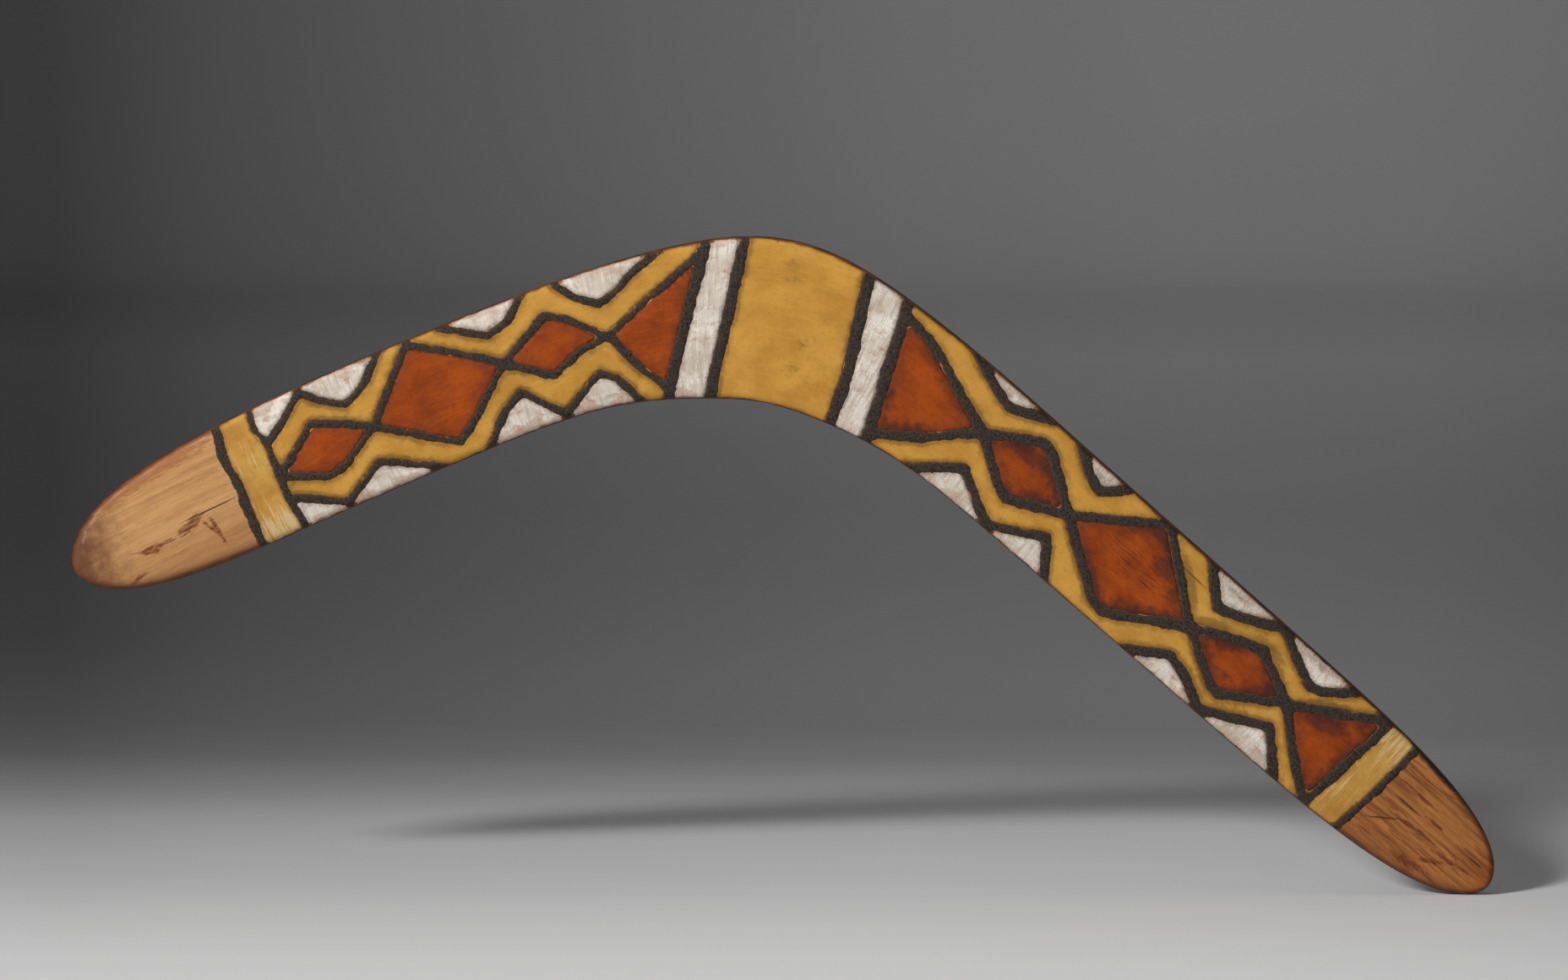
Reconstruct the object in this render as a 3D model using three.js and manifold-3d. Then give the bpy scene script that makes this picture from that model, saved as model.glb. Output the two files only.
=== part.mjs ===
// A painted wooden boomerang: one carved blade and the coats of paint laid on its front face.
// Millimetres, +Z up. The blade stands in the XZ plane, its painted crowned face towards -Y and
// its flat back towards +Y. The origin is the blade's balance point, about which it spins.
import * as THREE from 'three';
import { mergeVertices } from 'three/addons/utils/BufferGeometryUtils.js';
import Module from 'manifold-3d';

const wasm = await Module();
wasm.setup();

// ---- The blade seen from its face ----
const LEFT_ARM = 291; // along the middle of the blade, left tip to elbow
const RIGHT_ARM = 352; // elbow to right tip
const LEFT_RISE = 21; // degrees that the left arm climbs near the elbow
const LEFT_DROOP = 7.8; // degrees more at the left tip
const DROOP_LENGTH = 244; // the end of the left arm over which it droops
const ELBOW_TURN = 62.1; // degrees between the arms
const ELBOW_LENGTH = 257; // the stretch of blade that takes the turn
const LEFT_WIDTH = 52.7;
const RIGHT_WIDTH = 47.1;
const ELBOW_SWELL = 13.2; // how much wider the elbow is
const SWELL_LENGTH = 37;
const ELBOW_LEAN = 3.3; // how far the blade bulges outwards just past the elbow
const LEAN_PAST_ELBOW = 2.7;
const LEAN_LENGTH = 22;
const LEFT_TIP_LENGTH = 233; // the stretch over which each tip narrows and rounds off
const LEFT_TIP_POWER = 7.1;
const RIGHT_TIP_LENGTH = 168;
const RIGHT_TIP_POWER = 5.2;

// ---- The blade cut across ----
const THICKNESS = 9; // at the crown, mid arm
const CROWN = 1.5; // fall of the face from the crown to where its edge rounds over
const EDGE_ROUND = 3; // how far in from the outline the rounding starts
const EDGE_DROP = 3.4; // how far the rounding falls
const BACK_ROUND = 1; // small rounding of the back's edge
const TIP_THINNING = 0.22; // share of the thickness lost at the tips
const THINNING_LENGTH = 100; // the stretch over which each tip thins

// ---- Paint ----
const COAT = 0.25; // thickness of a dry coat
const COAT_GAP = 0.15; // between a coat and the wood
const COLOUR_GAP = 0.3; // between neighbouring coats
const BARE_RIM = 0.8; // unpainted strip along the outline
// The black brush lines: across the blade beside the elbow, along the arm, and across its tip
const LINE_WIDTHS = {
  left: { band: 4.6, along: 3.2, tip: 4.2 },
  right: { band: 5, along: 4.1, tip: 3.1 },
};

const STATION_STEP = 9;
const TIP_STEPS = 12;
const CROWDED_LENGTH = 100; // the stretch of each tip that the tip steps share

const LENGTH = LEFT_ARM + RIGHT_ARM;

// ---- The middle line of the blade ----

// 0 to 1 with an easy start and end
function ease(t) {
  const c = Math.min(Math.max(t, 0), 1);
  return c * c * c * (c * (6 * c - 15) + 10);
}

function heading(s) {
  const droop = LEFT_DROOP * Math.max(1 - s / DROOP_LENGTH, 0) ** 1.5;
  const turn = ELBOW_TURN * ease((s - LEFT_ARM + ELBOW_LENGTH / 2) / ELBOW_LENGTH);
  return THREE.MathUtils.degToRad(LEFT_RISE + droop - turn);
}

// The line is walked in millimetre steps from the left tip.
const walked = [new THREE.Vector2(0, 0)];
for (let s = 1; s <= Math.ceil(LENGTH); s += 1) {
  const a = heading(s - 0.5);
  const last = walked[s - 1];
  walked.push(new THREE.Vector2(last.x + Math.cos(a), last.y + Math.sin(a)));
}

// How far the middle of the blade lies outside the middle line at station s
function lean(s) {
  return ELBOW_LEAN * Math.exp(-(((s - LEFT_ARM - LEAN_PAST_ELBOW) / LEAN_LENGTH) ** 2) / 2);
}

// The point at station s in the middle of the blade, moved out by u towards the outer edge
function inPlan(s, u) {
  const i = Math.min(Math.floor(s), walked.length - 2);
  const middle = walked[i].clone().lerp(walked[i + 1], s - i);
  const a = heading(s);
  const out = u + lean(s);
  return new THREE.Vector2(middle.x - Math.sin(a) * out, middle.y + Math.cos(a) * out);
}

function halfWidth(s) {
  const swell = ELBOW_SWELL * Math.exp(-(((s - LEFT_ARM) / SWELL_LENGTH) ** 2) / 2);
  const full = LEFT_WIDTH + ((RIGHT_WIDTH - LEFT_WIDTH) * s) / LENGTH + swell;
  const left = Math.max(1 - s / LEFT_TIP_LENGTH, 0) ** LEFT_TIP_POWER;
  const right = Math.max(1 - (LENGTH - s) / RIGHT_TIP_LENGTH, 0) ** RIGHT_TIP_POWER;
  return (full / 2) * Math.sqrt(Math.max(1 - left, 0)) * Math.sqrt(Math.max(1 - right, 0));
}

function crownHeight(s) {
  const left = Math.max(1 - s / THINNING_LENGTH, 0) ** 2;
  const right = Math.max(1 - (LENGTH - s) / THINNING_LENGTH, 0) ** 2;
  return THICKNESS * (1 - TIP_THINNING * (left + right));
}

// How far the outline's slope stretches a distance measured straight in from it
function slant(s) {
  const a = Math.max(s - 0.5, 0);
  const b = Math.min(s + 0.5, LENGTH);
  return Math.hypot(1, (halfWidth(b) - halfWidth(a)) / (b - a));
}

// Height of the face above the back at a share v of the half width
function faceHeight(s, v) {
  const inwards = ((1 - Math.abs(v)) * halfWidth(s)) / slant(s);
  const over = Math.max(1 - inwards / EDGE_ROUND, 0);
  const fall = EDGE_DROP * (1 - Math.sqrt(Math.max(1 - over * over, 0)));
  const height = crownHeight(s);
  const side = v * Math.min(halfWidth(s) / (2 * EDGE_ROUND), 1);
  return height - CROWN * side * side - (fall * height) / THICKNESS;
}

// Stations crowd together towards the tips, where the outline turns fastest.
function stations() {
  const list = [];
  for (let i = 0; i < TIP_STEPS; i += 1) {
    list.push(CROWDED_LENGTH * (1 - Math.cos(((i / TIP_STEPS) * Math.PI) / 2)));
  }
  const span = LENGTH - 2 * CROWDED_LENGTH;
  const count = Math.round(span / STATION_STEP);
  for (let i = 0; i < count; i += 1) {
    list.push(CROWDED_LENGTH + (span * i) / count);
  }
  for (let i = 0; i <= TIP_STEPS; i += 1) {
    const turn = ((1 - i / TIP_STEPS) * Math.PI) / 2;
    list.push(LENGTH - CROWDED_LENGTH * (1 - Math.cos(turn)));
  }
  return list;
}

// Shares of the half width at which the face has a point: close together on the rounded edge
function acrossFace(s, outermost) {
  const h = Math.max(halfWidth(s), 0.001);
  const edge = [0, BARE_RIM, EDGE_ROUND * 0.55, EDGE_ROUND].filter((d) => d >= outermost);
  const rim = edge.map((d) => 1 - Math.min((d * slant(s)) / h, 0.9 * (d / EDGE_ROUND)));
  const inner = [0.66, 0.33].map((share) => share * rim[rim.length - 1]);
  const half = [...rim, ...inner];
  return [...half.map((v) => -v), 0, ...half.reverse()];
}

// ---- Closed solids from rows of points ----

// Joins rows that each run around a closed loop, one after the other, and caps both ends.
function skin(rows) {
  const positions = rows.flat().flatMap((p) => [p.x, p.y, p.z]);
  const around = rows[0].length;
  const index = [];
  for (let i = 0; i + 1 < rows.length; i += 1) {
    for (let j = 0; j < around; j += 1) {
      const a = i * around + j;
      const b = i * around + ((j + 1) % around);
      index.push(a, b + around, b);
      index.push(a, a + around, b + around);
    }
  }
  const last = (rows.length - 1) * around;
  for (let j = 0; 2 * j + 2 < around; j += 1) {
    const k = around - 1 - j;
    for (const [start, flip] of [[0, false], [last, true]]) {
      const quad = [[j, j + 1, k], [j + 1, k - 1, k]].filter((t) => new Set(t).size === 3);
      for (const t of quad) {
        const corners = t.map((c) => c + start);
        index.push(...(flip ? corners.reverse() : corners));
      }
    }
  }
  return closed(positions, index);
}

// Welds equal points and leaves out the triangles that this folds flat.
function closed(positions, index) {
  const geometry = new THREE.BufferGeometry();
  geometry.setAttribute('position', new THREE.Float32BufferAttribute(positions, 3));
  geometry.setIndex(index);
  const welded = mergeVertices(geometry, 1e-3);
  const position = welded.getAttribute('position');
  const kept = [];
  for (let i = 0; i < welded.index.count; i += 3) {
    const t = [0, 1, 2].map((k) => welded.index.getX(i + k));
    const corners = t.map((k) => new THREE.Vector3().fromBufferAttribute(position, k));
    if (new THREE.Triangle(...corners).getArea() > 1e-6) {
      kept.push(...t);
    }
  }
  welded.setIndex(kept);
  return welded;
}

function toSolid(geometry) {
  const bare = geometry.clone();
  bare.deleteAttribute('normal');
  bare.deleteAttribute('uv');
  const welded = mergeVertices(bare);
  return new wasm.Manifold(
    new wasm.Mesh({
      numProp: 3,
      vertProperties: welded.getAttribute('position').array,
      triVerts: Uint32Array.from(welded.getIndex().array),
    }),
  );
}

function toGeometry(solid) {
  const mesh = solid.getMesh();
  const geometry = new THREE.BufferGeometry();
  geometry.setAttribute('position', new THREE.Float32BufferAttribute(mesh.vertProperties, 3));
  geometry.setIndex(Array.from(mesh.triVerts));
  const faceted = geometry.toNonIndexed();
  faceted.computeVertexNormals();
  return faceted;
}

// ---- The blade ----

// One ring around the blade: its face from the inner edge to the outer, then its back
function bladeRing(s) {
  const h = halfWidth(s);
  const face = acrossFace(s, 0).map((v) => {
    const p = inPlan(s, v * h);
    return new THREE.Vector3(p.x, -faceHeight(s, v), p.y);
  });
  const back = [];
  const inset = Math.min(BACK_ROUND * slant(s), 0.5 * h);
  for (const side of [1, -1]) {
    const round = [0, 0.3, 1].map((t) => {
      const p = inPlan(s, side * (h - inset * t));
      return new THREE.Vector3(p.x, -BACK_ROUND * (1 - Math.sqrt(t * (2 - t))), p.y);
    });
    back.push(...(side === 1 ? round : round.reverse()));
  }
  return [...face, ...back];
}

const blade = skin(stations().map(bladeRing));

// ---- Coats of paint ----

// The thin layer over the whole face that every coat is cut from
function coatRing(s) {
  const h = halfWidth(s);
  const across = acrossFace(s, BARE_RIM);
  const at = (v, lift) => {
    const p = inPlan(s, v * h);
    return new THREE.Vector3(p.x, -faceHeight(s, v) - lift, p.y);
  };
  const top = across.map((v) => at(v, COAT_GAP + COAT));
  const under = across.map((v) => at(v, COAT_GAP)).reverse();
  return [...top, ...under];
}

const paintable = stations().filter((s) => s > 15 && s < LENGTH - 15);
const layer = toSolid(skin(paintable.map(coatRing)));

// A point of the pattern: percent of the arm outwards from the elbow, and percent of the half
// width towards the outer edge (+) or the inner edge (-)
function onArm(arm, [out, across]) {
  const s = arm === 'left' ? LEFT_ARM * (1 - out / 100) : LEFT_ARM + (RIGHT_ARM * out) / 100;
  return inPlan(s, (halfWidth(s) * across) / 100);
}

// A column through the face with the given outline in plan
function column(outline) {
  const depth = THICKNESS * 3;
  const shape = new THREE.Shape(outline);
  const geometry = new THREE.ExtrudeGeometry(shape, { depth, bevelEnabled: false });
  geometry.rotateX(Math.PI / 2);
  return toSolid(geometry);
}

// A brush line of even width along a row of points, its corners mitred
function stroke(points, width) {
  const sides = [[], []];
  points.forEach((p, i) => {
    const before = p.clone().sub(points[Math.max(i - 1, 0)]).normalize();
    const after = points[Math.min(i + 1, points.length - 1)].clone().sub(p).normalize();
    const a = i === 0 ? after : before;
    const b = i === points.length - 1 ? before : after;
    const across = new THREE.Vector2(-a.y - b.y, a.x + b.x).normalize();
    const reach = width / 2 / Math.max(across.x * -a.y + across.y * a.x, 0.35);
    sides[0].push(p.clone().addScaledVector(across, reach));
    sides[1].push(p.clone().addScaledVector(across, -reach));
  });
  return column([...sides[0], ...sides[1].reverse()]);
}

const back = (points) => [...points].reverse();

// The black lines of each arm, from the elbow's side or across the blade from outer to inner edge
const left = {
  bandInner: [[4, 114], [4.8, 44], [5.6, -4], [6.7, -53], [7.8, -94], [8.2, -114]],
  bandOuter: [[7.9, 117], [8.3, 95], [9.7, 39], [11.8, -24], [14.5, -92], [15.3, -113]],
  paleInner: [[69, 120], [69.7, 67], [68.8, 40], [69.2, -9], [69.3, -46], [68.7, -119]],
  tip: [[74, 120], [75, 51], [74.7, 7], [75.5, -120]],
  upper: [
    [8.2, 97], [9.4, 81], [14.9, 42], [21.3, 2], [22.7, 12], [26.2, 44], [28.5, 58], [35.6, 11],
    [37.5, 27], [43.1, 68], [46.8, 93], [54.9, -1], [56.5, 10], [62.4, 41], [67.5, -1], [69.2, -9],
  ],
  lower: [
    [14.3, -85], [18.1, -49], [21.3, 2], [25.6, -9], [29.8, -32], [35.6, 11], [42.6, -56],
    [45, -74], [54.9, -1], [60.4, -37], [62.8, -44], [67.8, -19], [69.2, -9],
  ],
  toothA: [[10.6, 117], [14.2, 94], [16.7, 80], [19.1, 59], [21.5, 49], [24, 66], [27.9, 120]],
  toothB: [[28.5, 118], [33.3, 68], [36.2, 60], [38.5, 75], [41.1, 92], [44.8, 119]],
  toothCD: [
    [48.6, 117], [54.4, 60], [57.1, 46], [59.9, 66], [62.3, 92], [65.4, 64], [68.8, 40],
  ],
  innerAB: [
    [17.3, -113], [21.8, -59], [23.9, -46], [30.1, -92], [34.9, -37], [38.1, -59], [43.2, -115],
  ],
  innerCD: [[45.5, -115], [56, -52], [62.1, -90], [69.3, -46]],
};
const right = {
  bandInner: [[7.8, 119], [8.6, 52], [9.4, 8], [10.2, -44], [10.8, -113]],
  bandOuter: [[11.8, 123], [12.9, 59], [13.6, 10], [14.7, -45], [16.1, -114]],
  paleInner: [[80.3, 121], [79.7, 34], [79.3, -31], [78.8, -117]],
  tip: [[84.3, 121], [83.9, -1], [83.1, -117]],
  upper: [
    [12.6, 83], [13.8, 79], [17.1, 67], [21.5, 39], [26, 14], [31.7, 65], [33.6, 57], [38.9, 5],
    [47.9, 99], [50.4, 70], [56.8, -1], [61.7, 33], [64.4, 48], [70.3, 8], [80, 98],
  ],
  lower: [
    [15.7, -85], [20.9, -51], [24.4, -5], [26, 14], [30.7, -30], [32.4, -41], [38.9, 5], [42.2, -27],
    [47, -72], [48.7, -75], [56.8, -1], [62.6, -50], [63.9, -52], [70.3, 8], [74.9, -52], [78.9, -96],
  ],
  toothA: [[17.5, 119], [24.3, 78], [26.3, 69], [32.9, 114]],
  toothB: [[33.6, 114], [37.7, 74], [39.8, 64], [43.1, 114]],
  toothCD: [
    [52.6, 117], [57.7, 49], [60.7, 67], [64.7, 95], [70.8, 53], [72.4, 60], [76.7, 117],
  ],
  innerAB: [[19.7, -115], [26.9, -46], [30.9, -78], [33, -92], [38.7, -44], [42.6, -116]],
  innerCD: [
    [51.1, -116], [57.3, -55], [60, -66], [63.5, -92], [70.6, -38], [76, -117],
  ],
};

// Splits a zigzag at its corner on the rim into the two teeth that it bounds.
function teeth(zigzag, corner, beyond) {
  const rim = [zigzag[corner][0], beyond];
  return [[...zigzag.slice(0, corner + 1), rim], [...zigzag.slice(corner), rim]];
}

const WOOD = new THREE.Color(0.64, 0.41, 0.22);
const COLOURS = {
  black: [0.035, 0.032, 0.032, 0.92],
  red: [0.42, 0.12, 0.035, 0.85],
  yellow: [0.6, 0.37, 0.1, 0.85],
  pale: [0.68, 0.5, 0.22, 0.85],
  white: [0.72, 0.69, 0.64, 0.9],
};

const coats = [];

// Black goes where its lines run; every other coat stops short of them.
function paintLines(name, lines) {
  const solids = lines.map(([points, width]) => stroke(points, width));
  const cutters = lines.map(([points, width]) => stroke(points, width + 2 * COLOUR_GAP));
  coats.push({ name, colour: 'black', shape: wasm.Manifold.union(solids), cutters });
}

const fields = [];

function paintField(name, colour, outline) {
  fields.push({ name, colour, outline });
}

for (const [side, arm] of [['left', left], ['right', right]]) {
  const put = (points) => points.map((p) => onArm(side, p));
  const widths = LINE_WIDTHS[side];
  const line = (key) => {
    const kind = key.startsWith('band') ? 'band' : 'along';
    return [put(arm[key]), key === 'tip' ? widths.tip : widths[kind]];
  };
  const joined = ['bandOuter', 'upper', 'lower', 'paleInner'];
  if (side === 'left') {
    joined.push('toothCD', 'innerCD');
  }
  paintLines(`black_outline_${side}`, joined.map((key) => line(key)));
  for (const key of ['bandInner', 'toothA', 'toothB', 'toothCD', 'innerAB', 'innerCD']) {
    if (!joined.includes(key)) {
      paintLines(`black_${key.toLowerCase()}_${side}`, [line(key)]);
    }
  }
  paintLines(`black_tip_${side}`, [line('tip')]);

  const field = (name, colour, points) => paintField(`${name}_${side}`, colour, put(points));
  field('white_band', 'white', [...arm.bandInner, ...back(arm.bandOuter)]);
  field('pale_band', 'pale', [...arm.paleInner, ...back(arm.tip)]);
  field('white_outer_a', 'white', arm.toothA);
  field('white_outer_b', 'white', arm.toothB);
}

// Left arm: the points where its two zigzags cross bound the red shapes.
{
  const put = (points) => points.map((p) => onArm('left', p));
  const { upper, lower, toothA, toothB, toothCD, innerAB, innerCD } = left;
  const { bandOuter, paleInner } = left;
  const field = (name, colour, points) => paintField(`${name}_left`, colour, put(points));
  field('red_triangle', 'red', [
    ...upper.slice(0, 4), ...back(lower.slice(0, 2)), ...back(bandOuter.slice(1, 5)),
  ]);
  field('red_diamond_a', 'red', [...upper.slice(3, 8), ...back(lower.slice(3, 5))]);
  field('red_diamond_b', 'red', [...upper.slice(7, 12), ...back(lower.slice(6, 8))]);
  field('red_diamond_c', 'red', [...upper.slice(11), ...back(lower.slice(9, 12))]);
  field('yellow_outer_a', 'yellow', [
    ...back(upper.slice(0, 11)), bandOuter[0], ...toothA, ...toothB, [47.8, 120],
  ]);
  field('yellow_outer_b', 'yellow', [
    [47.8, 120], ...toothCD, ...back(upper.slice(10)),
  ]);
  field('yellow_inner', 'yellow', [
    ...back(lower), bandOuter[5], ...innerAB, ...innerCD,
  ]);
  const [toothD, toothC] = teeth(toothCD, 4, 125);
  field('white_outer_c', 'white', toothD);
  field('white_outer_d', 'white', [...toothC.slice(0, -1), ...back(paleInner.slice(0, 2)), [63.1, 125]]);
  const [a, b] = teeth(innerAB, 3, -125);
  field('white_inner_a', 'white', a);
  field('white_inner_b', 'white', b);
  const [c, d] = teeth(innerCD, 2, -125);
  field('white_inner_c', 'white', c);
  field('white_inner_d', 'white', [...d.slice(0, -1), paleInner[5], [62.9, -125]]);
}

// Right arm
{
  const put = (points) => points.map((p) => onArm('right', p));
  const { upper, lower, toothA, toothB, toothCD, innerAB, innerCD } = right;
  const { bandOuter, paleInner } = right;
  const field = (name, colour, points) => paintField(`${name}_right`, colour, put(points));
  field('red_triangle', 'red', [
    ...upper.slice(0, 5), ...back(lower.slice(0, 3)), ...back(bandOuter.slice(1, 4)),
  ]);
  field('red_diamond_a', 'red', [...upper.slice(4, 8), ...back(lower.slice(4, 6))]);
  field('red_diamond_b', 'red', [...upper.slice(7, 11), ...back(lower.slice(7, 10))]);
  field('red_diamond_c', 'red', [...upper.slice(10, 14), ...back(lower.slice(11, 13))]);
  field('red_triangle_tip', 'red', [
    ...upper.slice(13), ...paleInner.slice(1, 3), ...back(lower.slice(14)),
  ]);
  field('yellow_outer_a', 'yellow', [
    bandOuter[0], ...upper.slice(0, 9), [48.1, 120], ...back(toothB), ...back(toothA),
  ]);
  field('yellow_outer_b', 'yellow', [
    ...upper.slice(8), paleInner[0], ...back(toothCD), [48.1, 120],
  ]);
  field('yellow_inner', 'yellow', [
    ...back(lower), bandOuter[4], ...innerAB, ...innerCD, paleInner[3],
  ]);
  const [c, d] = teeth(toothCD, 3, 125);
  field('white_outer_c', 'white', c);
  field('white_outer_d', 'white', d);
  const [e, f] = teeth(innerAB, 3, -125);
  field('white_inner_a', 'white', e);
  field('white_inner_b', 'white', f);
  const [g, k] = teeth(innerCD, 3, -125);
  field('white_inner_c', 'white', g);
  field('white_inner_d', 'white', k);
}

// The elbow is one plain yellow field between the arms' inner lines.
paintField('yellow_elbow', 'yellow', [
  ...left.bandInner.map((p) => onArm('left', p)),
  ...back(right.bandInner.map((p) => onArm('right', p))),
]);

const allLines = wasm.Manifold.union(coats.flatMap((coat) => coat.cutters));
for (const { name, colour, outline } of fields) {
  coats.push({ name, colour, shape: column(outline).subtract(allLines) });
}

// ---- The finished group, moved so that the balance point is the origin ----

function balancePoint(geometry) {
  const p = geometry.getAttribute('position');
  const corner = (i) => new THREE.Vector3().fromBufferAttribute(p, geometry.index.getX(i));
  const sum = new THREE.Vector3();
  let volume = 0;
  for (let i = 0; i < geometry.index.count; i += 3) {
    const [a, b, c] = [corner(i), corner(i + 1), corner(i + 2)];
    const wedge = a.dot(b.clone().cross(c)) / 6;
    volume += wedge;
    sum.addScaledVector(a.add(b).add(c), wedge / 4);
  }
  return sum.divideScalar(volume);
}

const balance = balancePoint(blade);
const object = new THREE.Group();

function addPiece(name, geometry, [r, g, b, roughness]) {
  geometry.translate(-balance.x, -balance.y, -balance.z);
  const color = new THREE.Color(r, g, b);
  const material = new THREE.MeshStandardMaterial({ color, roughness, metalness: 0 });
  const mesh = new THREE.Mesh(geometry, material);
  mesh.name = name;
  object.add(mesh);
}

const bladeFaces = blade.toNonIndexed();
bladeFaces.computeVertexNormals();
addPiece('blade', bladeFaces, [WOOD.r, WOOD.g, WOOD.b, 0.6]);
for (const { name, colour, shape } of coats) {
  addPiece(name, toGeometry(layer.intersect(shape)), COLOURS[colour]);
}

export default object;
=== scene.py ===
"""Looks for a painted wooden boomerang: the carved blade, the coats brushed onto its face,
the floor, the lamps and the camera. Blender works in metres, the sizes here in millimetres."""

import math

import bmesh
import bpy
import numpy as np
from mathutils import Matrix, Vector, kdtree, noise
from mathutils.geometry import delaunay_2d_cdt


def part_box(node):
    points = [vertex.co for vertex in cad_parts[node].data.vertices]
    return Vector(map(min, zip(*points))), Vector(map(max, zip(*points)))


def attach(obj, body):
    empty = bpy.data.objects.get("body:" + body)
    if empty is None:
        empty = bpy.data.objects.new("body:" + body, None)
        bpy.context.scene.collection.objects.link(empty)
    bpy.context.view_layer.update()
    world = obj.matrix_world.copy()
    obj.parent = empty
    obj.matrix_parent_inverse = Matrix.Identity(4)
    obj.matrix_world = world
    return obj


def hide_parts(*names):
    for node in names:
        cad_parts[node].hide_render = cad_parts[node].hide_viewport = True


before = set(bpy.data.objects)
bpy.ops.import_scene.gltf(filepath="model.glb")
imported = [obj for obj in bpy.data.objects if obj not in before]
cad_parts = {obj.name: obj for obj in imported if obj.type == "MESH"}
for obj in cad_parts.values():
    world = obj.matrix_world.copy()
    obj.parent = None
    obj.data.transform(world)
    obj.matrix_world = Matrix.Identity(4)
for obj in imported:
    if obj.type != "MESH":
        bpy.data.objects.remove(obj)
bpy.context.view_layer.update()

MM = 0.001

# ---- The blade seen from its face, as the CAD has it, with angles in degrees ----
LEFT_ARM = 291
RIGHT_ARM = 352
LENGTH = LEFT_ARM + RIGHT_ARM
LEFT_RISE = 21
LEFT_DROOP = 7.8
DROOP_LENGTH = 244
ELBOW_TURN = 62.1
ELBOW_LENGTH = 257
LEFT_WIDTH = 52.7
RIGHT_WIDTH = 47.1
ELBOW_SWELL = 13.2
SWELL_LENGTH = 37
ELBOW_LEAN = 3.3
LEAN_PAST_ELBOW = 2.7
LEAN_LENGTH = 22
LEFT_TIP_LENGTH = 233
LEFT_TIP_POWER = 7.1
RIGHT_TIP_LENGTH = 168
RIGHT_TIP_POWER = 5.2

# ---- The blade cut across ----
THICKNESS = 9
CROWN = 1.5
EDGE_ROUND = 3
EDGE_DROP = 3.4
BACK_ROUND = 1
TIP_THINNING = 0.22
THINNING_LENGTH = 100
SCRAPE_ON_FACE = 0.35  # how deep the scraper's strokes are under the paint, beside the back's
SCRAPE_FADE = 1.0, 6.0  # they fade out between these distances from the outline
BACK_HOLLOW = 0.05

# ---- How finely the blade and the coats are drawn ----
STATION_STEP = 1.4
TIP_STATIONS = 56
CROWDED_LENGTH = 100
FACE_COLUMNS = 31
BACK_COLUMNS = 23
ROUNDING_COLUMNS = (0, 0.15, 0.4, 0.8, 1.3, 1.9, 2.6, 3.4)
BACK_ROUNDING_COLUMNS = (0, 0.12, 0.4, 1)
BRUSH_STEP = 0.8
GRID_FROM_TIP = 14  # no coat reaches nearer to a tip than this
CLEAR_OF_OUTLINE = 0.45 * BRUSH_STEP
PATCH_AHEAD = 3 * THICKNESS  # where a patch starts from, in front of the back
RIM_SHARE = 0.9  # most of the half width that the face's rounding columns may take up
BACK_RIM_SHARE = 0.5
AT_ONCE = 4096  # points handled together
EDGES_AT_ONCE = 1024
WELD = 1e-6  # metres

# ---- Brushwork ----
UNDER_LINES = 0.7  # how far a colour runs on under the black lines beside it
RIM_STRIP = 1.3  # a coat that ends this near the outline runs on to the rounded edge
RAGGED_RIM = (0.3, 0.55)  # nearest to the outline, and how much further in its ragged edge goes
RAGGED_SIZE = 3.0
CORNER_ROUNDS = 5  # how often a coat's outline is softened


# ---------------------------------------------------------------- the middle line of the blade


def ease(t):
    """0 to 1 with an easy start and end."""
    c = np.clip(t, 0, 1)
    return c**3 * (c * (6 * c - 15) + 10)


def heading(s):
    """Direction of the middle line at station s, in radians."""
    droop = LEFT_DROOP * np.maximum(1 - s / DROOP_LENGTH, 0) ** 1.5
    turn = ELBOW_TURN * ease((s - LEFT_ARM + ELBOW_LENGTH / 2) / ELBOW_LENGTH)
    return np.radians(LEFT_RISE + droop - turn)


def walk_middle_line():
    """The middle line from the left tip, in millimetre steps."""
    a = heading(np.arange(1, LENGTH + 1) - 0.5)
    steps = np.stack([np.cos(a), np.sin(a)], 1)
    return np.vstack([[0, 0], np.cumsum(steps, 0)])


MIDDLE = walk_middle_line()


def middle_at(s):
    """Points of the middle line at stations s."""
    i = np.clip(np.floor(s).astype(int), 0, len(MIDDLE) - 2)
    part = (s - i)[..., None]
    return MIDDLE[i] * (1 - part) + MIDDLE[i + 1] * part


def lean(s):
    """How far the middle of the blade lies outside the middle line."""
    return ELBOW_LEAN * np.exp(-(((s - LEFT_ARM - LEAN_PAST_ELBOW) / LEAN_LENGTH) ** 2) / 2)


def in_plan(s, u):
    """Points at stations s, moved out by u from the blade's middle towards the outer edge."""
    a = heading(s)
    out = u + lean(s)
    return middle_at(s) + np.stack([-np.sin(a) * out, np.cos(a) * out], -1)


def half_width(s):
    """Half the blade's width: wider at the elbow, round at both tips."""
    swell = ELBOW_SWELL * np.exp(-(((s - LEFT_ARM) / SWELL_LENGTH) ** 2) / 2)
    full = LEFT_WIDTH + (RIGHT_WIDTH - LEFT_WIDTH) * s / LENGTH + swell
    left = np.maximum(1 - s / LEFT_TIP_LENGTH, 0) ** LEFT_TIP_POWER
    right = np.maximum(1 - (LENGTH - s) / RIGHT_TIP_LENGTH, 0) ** RIGHT_TIP_POWER
    return full / 2 * np.sqrt(np.maximum(1 - left, 0)) * np.sqrt(np.maximum(1 - right, 0))


def slant(s):
    """How far the outline's slope stretches a distance measured straight in from it."""
    a, b = np.maximum(s - 0.5, 0), np.minimum(s + 0.5, LENGTH)
    return np.hypot(1, (half_width(b) - half_width(a)) / (b - a))


def crown_share(s):
    """Share of the full thickness left at station s."""
    left = np.maximum(1 - s / THINNING_LENGTH, 0) ** 2
    right = np.maximum(1 - (LENGTH - s) / THINNING_LENGTH, 0) ** 2
    return 1 - TIP_THINNING * (left + right)


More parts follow.
